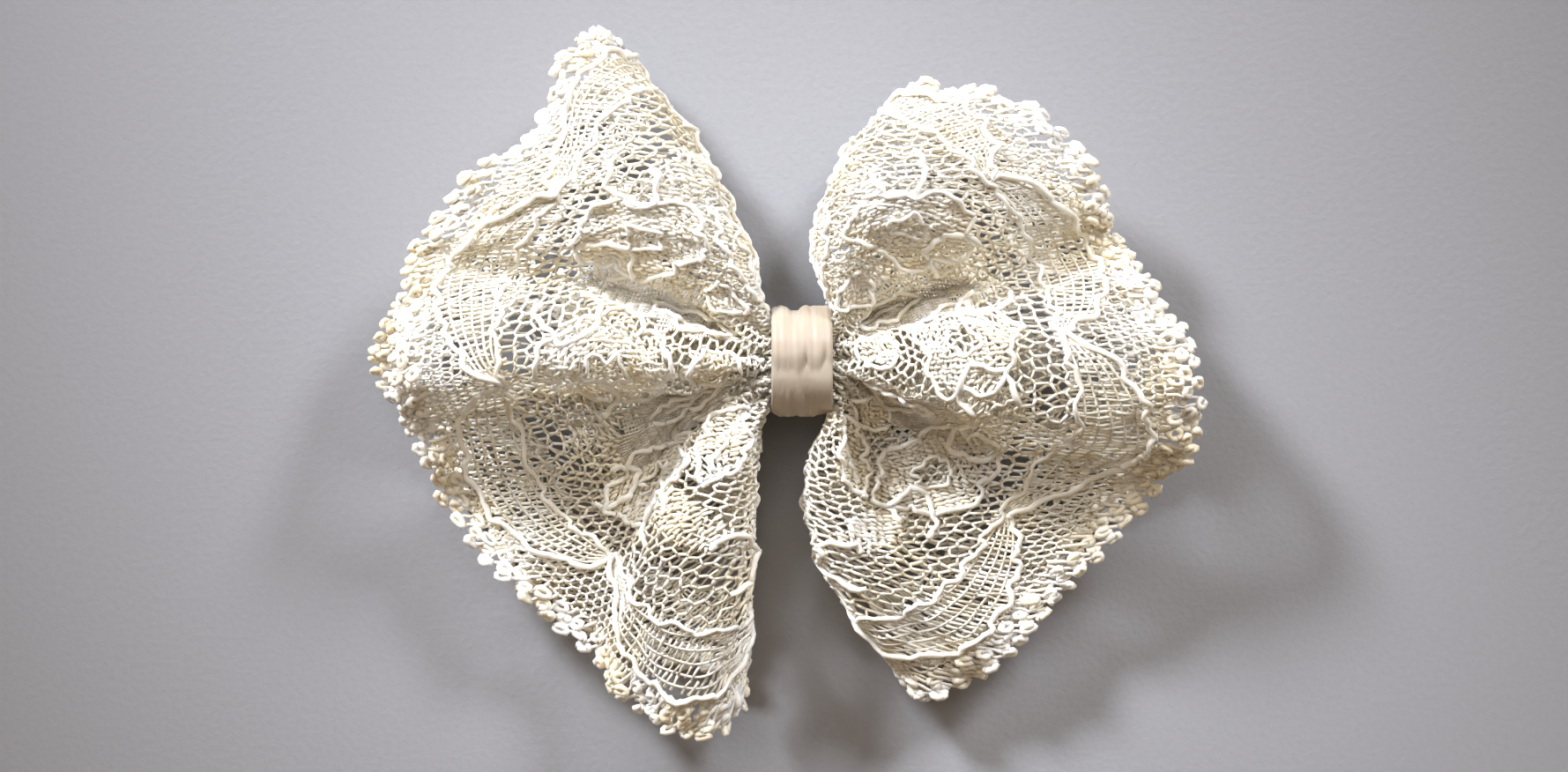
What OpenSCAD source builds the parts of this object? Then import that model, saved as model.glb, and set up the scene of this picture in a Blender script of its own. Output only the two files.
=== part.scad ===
// Lace hair bow on an alligator clip.
// The bow lies on its back: +X along the clip, +Y to the top of the bow, +Z out of its face.
// The origin is on the underside of the clip, straight below the middle of the waist.

/* [Waist] */
// Height of the waist's centre above the underside of the clip
waist_z = 9; // [8.8:0.1:9.4]
// Width of the satin wrap along the clip
wrap_w = 5.1; // [3:0.1:5.1]
// Radius of the wrap's round ends
wrap_r = 3.9; // [3.8:0.05:3.95]
// Thickness of the wound satin
wrap_t = 0.4; // [0.3:0.05:0.45]
// Half the length of the wrap's straight sides
wrap_side = 0.5; // [0.4:0.05:0.6]
// Turns of gathering thread under the wrap
thread_turns = 4; // [2:1:5]
// Diameter of the gathering thread
thread_d = 0.25; // [0.2:0.01:0.26]

/* [Lace] */
// Thickness of the corded lace
lace_t = 0.8; // [0.6:0.1:0.8]
// Gap between the front and the back layer at the waist
layer_gap = 0.3; // [0.3:0.05:0.5]
// Half the width of the gathered lace at the waist
gather_y = 3.4; // [3:0.1:3.4]

/* [Clip] */
// Half the length of the clip
clip_half = 22; // [21:0.5:22.5]
// Width of the upper plate
plate_w = 7.5; // [7.5:0.1:8]
// Width of the lower prong
prong_w = 5.7; // [5:0.1:5.7]
// Thickness of the pressed steel
steel_t = 0.5; // [0.4:0.05:0.55]
// Height of the upper plate's underside
plate_z = 3.3; // [3.2:0.05:3.4]
// Distance of the hinge from the middle of the clip
hinge_x = 12; // [11:0.5:12.5]
// Height of the hinge
hinge_z = 1.9; // [1.85:0.05:1.95]
// Radius of the hinge pin
pin_r = 0.5; // [0.4:0.05:0.5]
// Radial clearance of the pin in the moving ears
pin_clearance = 0.05; // [0.02:0.01:0.1]
// Wire diameter of the spring
wire_d = 0.35; // [0.3:0.05:0.35]
// Turns of the spring
coil_turns = 4; // [3:1:5]

/* [Backing] */
// Thickness of the ribbon on the clip
ribbon_t = 0.25; // [0.15:0.05:0.3]
// Thickness of the felt pad
felt_t = 0.75; // [0.6:0.05:0.75]
// Length of the felt pad
felt_l = 15; // [12:0.5:16]
// Width of the felt pad
felt_w = 8; // [6:0.5:8]

/* [Hidden] */

ivory = [0.93, 0.9, 0.83];
shaded_ivory = [0.86, 0.81, 0.72];
satin = [0.94, 0.86, 0.75];
thread_white = [0.96, 0.94, 0.9];
steel = [0.72, 0.73, 0.75];

plate_top = plate_z + steel_t;
ribbon_top = plate_top + ribbon_t;
felt_top = ribbon_top + felt_t;
gather_r = wrap_r - wrap_t - thread_d - 0.15;
waist_x = wrap_w / 2 + 0.15;
ear_inner = prong_w / 2 + 0.3;
ear_r = 1.25;
prong_ear_r = 1.1;

// Each row is one rib of the front layer: three points on the left wing, from the picot edge to the waist, then
// three on the right wing, from the waist to the picot edge. The rows run from the top edge to the bottom edge.
front_ribs = [
    [[-16.2, 28, 5.5], [-9.8, 19.9, 5.5], [-4.7, 10.4, 6.5], [1, 10.5, 6.5], [4.5, 18.4, 5.5], [8.8, 22.6, 5]],
    [[-17.8, 27.4, 8.5], [-11, 19, 12], [-5.2, 9.9, 12], [1.3, 10.2, 11.5], [5, 18, 12.5], [10.6, 23.2, 8]],
    [[-20.6, 24.2, 9.5], [-14, 16.8, 14.5], [-6.6, 8.8, 13.5], [2.6, 9.6, 14], [7.4, 16.6, 16], [13.6, 23.2, 9]],
    [[-22.8, 19.3, 9.5], [-16, 14.4, 14.5], [-7.6, 7.9, 13.5], [4, 8.8, 14.5], [10, 14.9, 17], [18.4, 21.4, 9.5]],
    [[-28.6, 14.6, 10], [-17.8, 11.6, 13], [-8.3, 6.6, 12.5], [5.2, 7.8, 13.5], [12.4, 13, 16], [23, 18.4, 9.5]],
    [[-31.6, 10.6, 10.5], [-18.8, 9.4, 11], [-8.8, 5.4, 11], [6.4, 6.3, 11.5], [14.4, 10.2, 13], [25.2, 14.2, 8.5]],
    [[-33, 7.4, 10], [-19.6, 7.2, 7.4], [-9.4, 3.8, 7.8], [7.4, 4.2, 7.6], [15.6, 7.2, 6.4], [26.6, 10.2, 7.2]],
    [[-33.6, 4, 11.5], [-20.2, 5, 13], [-10, 2.4, 11.5], [8.2, 2.6, 10.8], [16.4, 4.6, 12], [29.6, 6, 10]],
    [[-33.8, 0.5, 12.5], [-21, 1.8, 16.5], [-10.4, 0.8, 14], [8.8, 1, 14], [17.2, 2, 16], [32, 2, 12]],
    [[-33.4, -3.4, 12], [-21, -1.2, 16], [-10.3, -1.2, 13.6], [9, -0.8, 14.2], [17.6, -1, 17], [33, -2, 12.5]],
    [[-32.6, -6.2, 10], [-20.4, -2.6, 6.4], [-10.2, -2.4, 8.2], [8.8, -3, 12.6], [17.2, -5, 15.5], [32.8, -6.6, 11.5]],
    [[-30.4, -11, 8], [-18.6, -8, 4.7], [-9.9, -3.4, 7.2], [8.2, -4.1, 7.2], [16.2, -6.4, 6.4], [30.6, -9.8, 8]],
    [[-27.4, -16, 7], [-17.2, -10.8, 4], [-9.7, -4.4, 6.4], [7.4, -5.8, 6.6], [14.6, -10.6, 5], [26.6, -14.6, 7.5]],
    [[-22.8, -20.6, 6.5], [-15.6, -12.8, 4], [-9.4, -5.2, 6], [6.2, -7.2, 6.6], [12.4, -13.2, 5.2], [23, -18.6, 6.6]],
    [[-17.8, -25, 6], [-14, -14.2, 5], [-9, -5.8, 7], [4.8, -8.5, 7.8], [9.8, -15.6, 7], [19.6, -22.4, 5.8]],
    [[-13.8, -29.6, 8], [-12.2, -16, 12], [-8.4, -6.6, 11.4], [3.4, -9.4, 9.6], [7.2, -17, 9.2], [16.8, -25.6, 5.2]],
    [[-9.4, -31.6, 8.5], [-8.6, -17.4, 14], [-6.2, -8.3, 13], [2, -9.9, 11], [4.8, -18, 10.4], [13.8, -27.8, 4.8]],
    [[-5.8, -30.2, 6.5], [-4.7, -18, 12], [-4.3, -9.2, 11.4], [0.7, -10.1, 10.6], [2.6, -18.2, 9.8], [10.8, -28.6, 4.5]],
    [[-4.8, -28.6, 4], [-4.2, -17.8, 5.5], [-3.9, -9.1, 6.6], [0.3, -10, 6.2], [1.9, -17.8, 4.8], [9.7, -27.9, 3.6]]];

// The ribs of the back layer, in the same order. It rides over the clip and falls to the surface on either side.
back_ribs = [
    [[-15.4, 26.4, 3.2], [-9.3, 18.8, 3.6], [-4.4, 9.4, 5], [0.9, 9.4, 5], [4.2, 17.2, 3.6], [8.6, 21.2, 3]],
    [[-20.4, 22.2, 0.9], [-13.6, 15.8, 2], [-6.4, 8.2, 4.4], [3.4, 8.4, 4.4], [9, 14.6, 2.2], [16.6, 20.2, 0.9]],
    [[-27.4, 13.4, 0.4], [-17.4, 10.8, 2], [-8.2, 6, 4.6], [6, 6.6, 4.6], [13.6, 10.4, 2.2], [23.4, 14.4, 0.4]],
    [[-31.8, 8, 1.6], [-19.6, 6.4, 3], [-9.4, 4, 5.3], [7.8, 4, 5.5], [16.4, 6.2, 4.6], [28.2, 8, 2.4]],
    [[-35.6, 2.8, 5], [-21.2, 2.8, 5.3], [-10.2, 1.6, 6], [8.8, 1.6, 6.2], [17.6, 2.2, 6.4], [31, 2.2, 6.4]],
    [[-36.4, -1.2, 5], [-21.2, -1.6, 5.3], [-10.3, -1, 6], [9, -1, 6.2], [17.8, -2.2, 6.4], [31.6, -3, 6.2]],
    [[-31.6, -6.6, 2.4], [-20.2, -4.8, 3.2], [-10, -3.3, 5.3], [8.4, -3.8, 5.6], [16.8, -6, 4.2], [29.8, -8.8, 2.4]],
    [[-28.4, -13, 0.4], [-17.4, -9.6, 1.8], [-9.2, -5.4, 4.2], [7, -6.2, 4.6], [14.2, -10.6, 2.2], [25.8, -14.6, 0.4]],
    [[-23.4, -19, 0.4], [-14.2, -13.6, 1.6], [-7.6, -7, 3.8], [5.4, -7.8, 4.4], [11, -14, 2.4], [20.8, -20, 0.4]],
    [[-16.8, -24.2, 0.4], [-10.6, -15.8, 2.2], [-6, -8, 4.6], [3.4, -8.8, 4.6], [7.4, -16.2, 2.6], [15.8, -24.4, 0.4]],
    [[-6, -27, 2.2], [-5, -16.8, 3.8], [-4.2, -8.8, 4.9], [0.9, -9.4, 4.6], [2.7, -16.4, 3], [10.4, -26.2, 1.9]]];

function smooth(t) = let(s = min(1, max(0, t))) s * s * (3 - 2 * s);

// Catmull-Rom curve through b and c
function curve(a, b, c, d, t) =
    0.5 * (2 * b + (c - a) * t + (2 * a - 5 * b + 4 * c - d) * t * t + (3 * b - a - 3 * c + d) * t * t * t);

function at(list, i) = list[min(len(list) - 1, max(0, i))];

function along(list, s) =
    let(i = min(len(list) - 2, floor(s)))
    curve(at(list, i - 1), at(list, i), at(list, i + 1), at(list, i + 2), s - i);

// Height of the gathered bundle's round outside above the waist's centre
function bundle(y) = sqrt(gather_r * gather_r - pow(max(0, abs(y) - wrap_side), 2));

// Thickness of the gathered layer at the waist
function gathered_t(y) = bundle(y) - layer_gap / 2;

function waist_point(x, y, side) = [x, y, waist_z + side * (layer_gap + gathered_t(y)) / 2];

function waist_y(row, rows) = gather_y * (1 - 2 * row / (rows - 1));

// A whole rib, with its two points at the ends of the wrap put in
function full_rib(ribs, row, side) =
    let(r = ribs[row], y = waist_y(row, len(ribs)))
    [r[0], r[1], r[2], waist_point(-waist_x, y, side), waist_point(waist_x, y, side), r[3], r[4], r[5]];

// Point of a rib at station s. Inside the wrap, between stations 3 and 4, the gathered lace runs straight.
function rib_point(rib, s) = s > 3 && s < 4 ? rib[3] + (rib[4] - rib[3]) * (s - 3) : along(rib, s);

function lace_point(full, s, row) =
    let(p = along([for (rib = full) rib_point(rib, s)], row))
    [p[0], p[1], max(lace_t / 2, p[2])];

// Share of the gathered thickness at position s along a rib: 1 inside the wrap, 0 out on the wings
function gathered_share(s) = 1 - smooth((abs(s - 3.5) - 0.5) / 0.6);

function thickness(s, row, rows) =
    lace_t + gathered_share(s) * (gathered_t(waist_y(row, rows)) - lace_t);

// Closed sheet over a net of ribs, thickened up and down
module sheet(ribs, side, row_steps, rib_steps) {
    rows = len(ribs);
    full = [for (row = [0:rows - 1]) full_rib(ribs, row, side)];
    lines = (rows - 1) * row_steps + 1;
    stations = 7 * rib_steps + 1;
    middle = [for (i = [0:lines - 1]) for (j = [0:stations - 1]) lace_point(full, j / rib_steps, i / row_steps)];
    half_t = [for (i = [0:lines - 1]) for (j = [0:stations - 1])
        thickness(j / rib_steps, i / row_steps, rows) / 2];
    count = lines * stations;
    points = concat([for (k = [0:count - 1]) middle[k] + [0, 0, half_t[k]]],
                    [for (k = [0:count - 1]) middle[k] - [0, 0, half_t[k]]]);
    top = [for (i = [0:lines - 2]) for (j = [0:stations - 2])
        let(a = i * stations + j, b = a + stations) each [[a, a + 1, b + 1], [a, b + 1, b]]];
    bottom = [for (f = top) [f[2] + count, f[1] + count, f[0] + count]];
    first = [for (j = [0:stations - 1]) j];
    last = [for (j = [0:stations - 1]) (lines - 1) * stations + stations - 1 - j];
    left = [for (i = [1:lines - 2]) (lines - 1 - i) * stations];
    right = [for (i = [1:lines - 2]) i * stations + stations - 1];
    loop = concat(first, right, last, left);
    rim = [for (k = [0:len(loop) - 1])
        let(a = loop[k], b = loop[(k + 1) % len(loop)]) each [[b, a, a + count], [b, a + count, b + count]]];
    polyhedron(points = points, faces = concat(top, bottom, rim), convexity = 12);
}

module front_lace() {
    color(ivory) sheet(front_ribs, 1, 3, 3);
}

module back_lace() {
    color(shaded_ivory) sheet(back_ribs, -1, 4, 3);
}

// Outline of a band round the waist: two half circles and the straight sides between them
module stadium(r) {
    translate([-wrap_side, 0]) circle(r, $fn = 64);
    translate([wrap_side, 0]) circle(r, $fn = 64);
    translate([-wrap_side, -r]) square([2 * wrap_side, 2 * r]);
}

// Stands a shape drawn flat across the waist, with its thickness along the clip
module across_waist(x, w) {
    translate([x, 0, waist_z]) rotate([90, 0, 90]) linear_extrude(w) children();
}

module centre_wrap() {
    color(satin)
    across_waist(-wrap_w / 2, wrap_w)
    difference() {
        stadium(wrap_r);
        stadium(wrap_r - wrap_t);
    }
}

module thread_turn(x) {
    r = wrap_r - wrap_t - thread_d / 2 - 0.05;
    translate([x, 0, waist_z]) rotate([90, 0, 90]) {
        for (end = [0, 1])
            rotate([0, 0, 180 * end]) translate([wrap_side, 0, 0])
                rotate([0, 0, -90]) rotate_extrude(angle = 180, $fn = 48) translate([r, 0]) circle(d = thread_d, $fn = 16);
        for (y = [-r, r])
            translate([-wrap_side, y, 0]) rotate([0, 90, 0]) cylinder(d = thread_d, h = 2 * wrap_side, $fn = 16);
    }
}

module gathering_thread() {
    pitch = 0.8;
    color(thread_white)
    for (i = [0:thread_turns - 1])
        thread_turn((i - (thread_turns - 1) / 2) * pitch);
}

// Three short stitches over the lapped end of the wrap, on its lower back corner
module wrap_stitches() {
    lap_angle = 40;
    stitch_d = 0.3;
    stitch_l = 1.1;
    color(thread_white)
    for (x = [-1.6, 0, 1.6])
        translate([x, -wrap_side, waist_z]) rotate([lap_angle, 0, 0])
            translate([0, -wrap_r - stitch_d / 2, -stitch_l / 2]) cylinder(d = stitch_d, h = stitch_l, $fn = 16);
}

module glue_bed() {
    glue_l = 4.6;
    glue_w = 5;
    glue_t = 0.9;
    color([0.9, 0.86, 0.7])
    difference() {
        translate([-glue_l / 2, -glue_w / 2, felt_top]) cube([glue_l, glue_w, glue_t]);
        across_waist(-wrap_w, 2 * wrap_w) stadium(wrap_r);
    }
}

module felt_pad() {
    r = felt_w / 2;
    color([0.95, 0.93, 0.88])
    translate([0, 0, ribbon_top]) linear_extrude(felt_t) {
        for (x = [-1, 1])
            translate([x * (felt_l / 2 - r), 0]) circle(r, $fn = 64);
        square([felt_l - 2 * r, felt_w], center = true);
    }
}

module clip_ribbon() {
    ribbon_l = 29;
    ribbon_w = 7;
    color(shaded_ivory)
    translate([-ribbon_l / 2, -ribbon_w / 2, plate_top]) cube([ribbon_l, ribbon_w, ribbon_t]);
}

// Strip of steel bent along a line of [x, z] points that give its underside
module bent_strip(line, w) {
    rotate([90, 0, 0]) translate([0, 0, -w / 2]) linear_extrude(w)
        polygon(concat(line, [for (i = [len(line) - 1:-1:0]) line[i] + [0, steel_t]]));
}

// Flat ear on one side of the clip, round about the hinge
module ear(side, y, r, foot_z, foot_h) {
    mirror([0, side < 0 ? 1 : 0, 0]) translate([hinge_x, y + steel_t, 0]) rotate([90, 0, 0]) linear_extrude(steel_t) {
        translate([0, hinge_z]) circle(r, $fn = 48);
        translate([-r, foot_z]) square([2 * r, foot_h]);
    }
}

module hinge_hole(r) {
    translate([hinge_x, plate_w, hinge_z]) rotate([90, 0, 0]) cylinder(r = r, h = 2 * plate_w, $fn = 48);
}

module clip_upper_arm() {
    tab_x = 15.5;
    tab_rise = 1.45;
    nose_x = -15;
    jaw_x = -19.5;
    jaw_z = 0.95;
    tooth_h = 0.3;
    line = [[-clip_half, jaw_z], [jaw_x, jaw_z + 0.3], [nose_x, plate_z], [tab_x, plate_z],
            [clip_half, plate_z + tab_rise]];
    color(steel)
    difference() {
        union() {
            intersection() {
                bent_strip(line, plate_w);
                linear_extrude(plate_z * 3) plate_plan();
            }
            for (side = [-1, 1])
                ear(side, ear_inner, ear_r, hinge_z, plate_z + steel_t / 2 - hinge_z);
            for (x = [-21.6, -20.9])
                translate([x, -1.4, jaw_z - tooth_h]) cube([0.35, 2.8, tooth_h + steel_t / 2]);
        }
        hinge_hole(pin_r);
    }
}

// Outline of the upper plate from above: straight sides, a narrow round nose and a round finger tab
module plate_plan() {
    nose_r = 1.9;
    tab_r = 2.2;
    polygon([[-clip_half + nose_r, -nose_r], [-12, -plate_w / 2], [17, -plate_w / 2], [clip_half - tab_r, -tab_r],
             [clip_half - tab_r, tab_r], [17, plate_w / 2], [-12, plate_w / 2], [-clip_half + nose_r, nose_r]]);
    translate([-clip_half + nose_r, 0]) circle(nose_r, $fn = 48);
    translate([clip_half - tab_r, 0]) circle(tab_r, $fn = 48);
}

module clip_lower_arm() {
    end_r = 1.6;
    half_w = prong_w / 2;
    color(steel)
    difference() {
        union() {
            linear_extrude(steel_t) {
                polygon([[-clip_half + end_r, -end_r], [-10, -half_w], [17, -half_w], [clip_half - end_r, -end_r],
                         [clip_half - end_r, end_r], [17, half_w], [-10, half_w], [-clip_half + end_r, end_r]]);
                for (side = [-1, 1])
                    translate([side * (clip_half - end_r), 0]) circle(end_r, $fn = 48);
            }
            for (side = [-1, 1])
                ear(side, half_w - steel_t, prong_ear_r, steel_t / 2, hinge_z - steel_t / 2);
        }
        hinge_hole(pin_r + pin_clearance);
    }
}

module hinge_pin() {
    head_r = 0.85;
    head_t = 0.3;
    half_l = ear_inner + steel_t;
    color(steel)
    translate([hinge_x, 0, hinge_z]) rotate([90, 0, 0]) {
        cylinder(r = pin_r, h = 2 * half_l, center = true, $fn = 48);
        for (side = [-1, 1])
            translate([0, 0, side * (half_l + head_t / 2)]) cylinder(r = head_r, h = head_t, center = true, $fn = 48);
    }
}

// Tube of round wire swept along a line of points. Its rings stand across the line, squared up with the Y axis.
module wire(line, d, sides) {
    last = len(line) - 1;
    rings = [for (i = [0:last])
        let(run = line[min(last, i + 1)] - line[max(0, i - 1)],
            dir = run / norm(run),
            up = cross(dir, [0, 1, 0]),
            u = up / norm(up),
            v = cross(dir, u))
        for (k = [0:sides - 1]) line[i] + d / 2 * (u * cos(360 * k / sides) + v * sin(360 * k / sides))];
    walls = [for (i = [0:last - 1]) for (k = [0:sides - 1])
        let(a = i * sides + k, b = i * sides + (k + 1) % sides)
        each [[a, b, b + sides], [a, b + sides, a + sides]]];
    caps = [[for (k = [sides - 1:-1:0]) k], [for (k = [0:sides - 1]) last * sides + k]];
    polyhedron(points = rings, faces = concat(walls, caps), convexity = 8);
}

// Torsion spring: a coil on the pin, with one leg under the upper tab and one on the lower tab
module clip_spring() {
    coil_r = 0.95;
    steps = 16;
    pitch = wire_d + 0.12;
    wound = coil_turns + 0.5;
    half_l = wound * pitch / 2;
    leg_x = 18.5;
    upper_leg = [leg_x, -half_l, plate_z + 0.3];
    upper_bend = [hinge_x + 3.3, -half_l, plate_z - 0.3];
    lower_leg = [leg_x, half_l, steel_t + wire_d / 2 + 0.05];
    coil = [for (i = [0:wound * steps])
        let(a = 90 + 360 * i / steps)
        [hinge_x + coil_r * cos(a), pitch * i / steps - half_l, hinge_z + coil_r * sin(a)]];
    color(steel)
    wire(concat([upper_leg, upper_bend], coil, [lower_leg]), wire_d, 8);
}

front_lace();
back_lace();
centre_wrap();
gathering_thread();
wrap_stitches();
glue_bed();
felt_pad();
clip_ribbon();
clip_upper_arm();
clip_lower_arm();
hinge_pin();
clip_spring();
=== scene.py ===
import bpy, math
import numpy as np
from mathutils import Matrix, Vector


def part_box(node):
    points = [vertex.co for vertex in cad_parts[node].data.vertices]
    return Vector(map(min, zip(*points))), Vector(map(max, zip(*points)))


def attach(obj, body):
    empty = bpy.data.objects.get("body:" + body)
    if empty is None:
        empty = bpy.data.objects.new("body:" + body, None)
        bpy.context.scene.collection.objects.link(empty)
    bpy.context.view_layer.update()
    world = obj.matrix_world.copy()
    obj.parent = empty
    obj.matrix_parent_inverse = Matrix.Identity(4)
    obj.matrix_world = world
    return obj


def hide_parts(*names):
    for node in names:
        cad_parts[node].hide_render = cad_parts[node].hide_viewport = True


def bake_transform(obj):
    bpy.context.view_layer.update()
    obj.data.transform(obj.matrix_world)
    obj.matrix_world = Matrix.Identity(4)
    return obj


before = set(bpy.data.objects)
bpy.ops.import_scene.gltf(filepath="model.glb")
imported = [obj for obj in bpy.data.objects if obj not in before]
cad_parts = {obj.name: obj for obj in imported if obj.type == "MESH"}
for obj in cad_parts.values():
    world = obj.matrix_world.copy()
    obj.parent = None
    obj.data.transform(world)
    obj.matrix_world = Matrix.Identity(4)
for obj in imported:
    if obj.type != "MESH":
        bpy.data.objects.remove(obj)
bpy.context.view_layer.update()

MM = 0.001
TURN = 2 * math.pi
PAPER_GAP = 0.03       # the least height of any thread above the surface the bow lies on, in mm

# ---------------------------------------------------------------- materials

IVORY = (0.955, 0.90, 0.785, 1)
IVORY_SHADE = (0.91, 0.80, 0.60, 1)
SATIN = (0.54, 0.50, 0.43, 1)
SATIN_SHADE = (0.45, 0.375, 0.295, 1)
THREAD = (0.92, 0.89, 0.82, 1)
FELT = (0.86, 0.83, 0.75, 1)
RIBBON = (0.88, 0.84, 0.74, 1)
NICKEL = (0.62, 0.61, 0.59, 1)
GLUE = (0.82, 0.74, 0.55, 1)
PAPER = (0.315, 0.318, 0.34, 1)


def nodes_of(name):
    mat = bpy.data.materials.new(name)
    mat.use_nodes = True
    tree = mat.node_tree
    return mat, tree, tree.nodes["Principled BSDF"]


def noise(tree, scale, detail, stretch=(1, 1, 1)):
    """Noise in the piece's own coordinates, with scale counted per metre."""
    coords = tree.nodes.new("ShaderNodeTexCoord")
    mapping = tree.nodes.new("ShaderNodeMapping")
    mapping.inputs["Scale"].default_value = stretch
    tex = tree.nodes.new("ShaderNodeTexNoise")
    tex.inputs["Scale"].default_value = scale
    tex.inputs["Detail"].default_value = detail
    tree.links.new(coords.outputs["Object"], mapping.inputs["Vector"])
    tree.links.new(mapping.outputs["Vector"], tex.inputs["Vector"])
    return tex.outputs["Fac"]


def ramp(tree, factor, stops):
    """Colour ramp over (place, colour) stops."""
    node = tree.nodes.new("ShaderNodeValToRGB")
    elements = node.color_ramp.elements
    while len(elements) < len(stops):
        elements.new(0.5)
    for element, (place, colour) in zip(elements, stops):
        element.position = place
        element.color = colour
    tree.links.new(factor, node.inputs["Fac"])
    return node.outputs["Color"]


def bump(tree, shader, height, depth, strength=1.0):
    node = tree.nodes.new("ShaderNodeBump")
    node.inputs["Distance"].default_value = depth
    node.inputs["Strength"].default_value = strength
    tree.links.new(height, node.inputs["Height"])
    tree.links.new(node.outputs["Normal"], shader.inputs["Normal"])


def fibre(name, light, dark, rough=(0.5, 0.8), grain=2600, depth=0.00005, sheen=0.15, soft=0.0,
          stretch=(1, 1, 1), patch=180):
    """Yarn or cloth: slow patches of tone, fibre grain in the bump, and uneven gloss."""
    mat, tree, shader = nodes_of(name)
    tone = noise(tree, patch, 3)
    tree.links.new(ramp(tree, tone, [(0.36, dark), (0.62, light)]), shader.inputs["Base Color"])
    fine = noise(tree, grain, 4, stretch)
    low, high = rough
    tree.links.new(ramp(tree, fine, [(0.3, (low, low, low, 1)), (0.7, (high, high, high, 1))]),
                   shader.inputs["Roughness"])
    bump(tree, shader, fine, depth)
    shader.inputs["Sheen Weight"].default_value = sheen
    shader.inputs["Sheen Roughness"].default_value = 0.4
    shader.inputs["Specular IOR Level"].default_value = 0.3
    if soft:
        shader.inputs["Subsurface Weight"].default_value = soft
        shader.inputs["Subsurface Radius"].default_value = (1.0, 0.9, 0.74)
        shader.inputs["Subsurface Scale"].default_value = 0.0004
    return mat


net_yarn = fibre("net_yarn", IVORY, IVORY_SHADE, soft=0.6)
cloth_yarn = fibre("cloth_yarn", (0.96, 0.92, 0.83, 1), IVORY_SHADE, rough=(0.4, 0.75), soft=0.6)
cord_yarn = fibre("cord_yarn", (0.965, 0.945, 0.89, 1), IVORY, rough=(0.42, 0.7), depth=0.00004, soft=0.5)
picot_yarn = fibre("picot_yarn", (0.965, 0.945, 0.9, 1), IVORY_SHADE, depth=0.00006, soft=0.6)
thread_yarn = fibre("thread_yarn", THREAD, IVORY)
felt_cloth = fibre("felt_cloth", FELT, IVORY_SHADE, rough=(0.8, 1.0), grain=1500, depth=0.0002, sheen=0.6)
ribbon_cloth = fibre("ribbon_cloth", RIBBON, IVORY_SHADE, grain=3000)
satin_cloth = fibre("satin_cloth", SATIN, SATIN_SHADE, rough=(0.38, 0.55), grain=900, depth=0.00003, sheen=0.1,
                    stretch=(6, 1, 1), patch=120)


def metal(name, colour):
    """Nickel plate with brushing along the clip and small patches of tarnish."""
    mat, tree, shader = nodes_of(name)
    patches = noise(tree, 260, 5)
    dull = tuple(0.72 * c for c in colour[:3]) + (1,)
    tree.links.new(ramp(tree, patches, [(0.3, dull), (0.55, colour)]), shader.inputs["Base Color"])
    brushed = noise(tree, 900, 3, (1, 14, 14))
    tree.links.new(ramp(tree, brushed, [(0.3, (0.22,) * 3 + (1,)), (0.75, (0.42,) * 3 + (1,))]),
                   shader.inputs["Roughness"])
    bump(tree, shader, brushed, 0.00002)
    shader.inputs["Metallic"].default_value = 1
    return mat


nickel = metal("nickel", NICKEL)


def hot_melt():
    mat, tree, shader = nodes_of("hot_melt")
    cloud = noise(tree, 500, 3)
    tree.links.new(ramp(tree, cloud, [(0.3, (0.76, 0.66, 0.45, 1)), (0.7, GLUE)]), shader.inputs["Base Color"])
    bump(tree, shader, cloud, 0.0002)
    shader.inputs["Roughness"].default_value = 0.3
    shader.inputs["Coat Weight"].default_value = 0.3
    return mat


# ---------------------------------------------------------------- mesh helpers


def new_piece(name, points, quads, material, smooth=True):
    """Makes a mesh object from points in millimetres and quads."""
    mesh = bpy.data.meshes.new(name)
    points = np.asarray(points, float) * MM
    quads = np.asarray(quads, int)
    mesh.vertices.add(len(points))
    mesh.vertices.foreach_set("co", points.ravel())
    mesh.loops.add(quads.size)
    mesh.loops.foreach_set("vertex_index", quads.ravel())
    mesh.polygons.add(len(quads))
    mesh.polygons.foreach_set("loop_start", np.arange(len(quads)) * 4)
    mesh.polygons.foreach_set("use_smooth", np.full(len(quads), smooth))
    mesh.update(calc_edges=True)
    mesh.validate()
    mesh.materials.append(material)
    piece = bpy.data.objects.new(name, mesh)
    bpy.context.scene.collection.objects.link(piece)
    return piece


CAPS = {4: [(0, 1, 2, 3)], 6: [(0, 1, 2, 3), (0, 3, 4, 5)], 8: [(0, 1, 2, 3), (0, 3, 4, 7), (4, 5, 6, 7)]}


def tube_quads(tubes, rings, sides):
    """Quads of many closed tubes, each of so many rings, whose points lie one ring after another."""
    ring, side = np.meshgrid(np.arange(rings - 1), np.arange(sides), indexing="ij")
    after = (side + 1) % sides
    wall = np.stack([ring * sides + side, ring * sides + after, (ring + 1) * sides + after, (ring + 1) * sides + side],
                    axis=-1).reshape(-1, 4)
    start = np.array(CAPS[sides])[:, ::-1]
    end = np.array(CAPS[sides]) + (rings - 1) * sides
    one = np.concatenate([wall, start, end])
    return (one[None] + (np.arange(tubes) * rings * sides)[:, None, None]).reshape(-1, 4)


def unit(v):
    return v / np.maximum(np.linalg.norm(v, axis=-1, keepdims=True), 1e-9)


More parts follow.
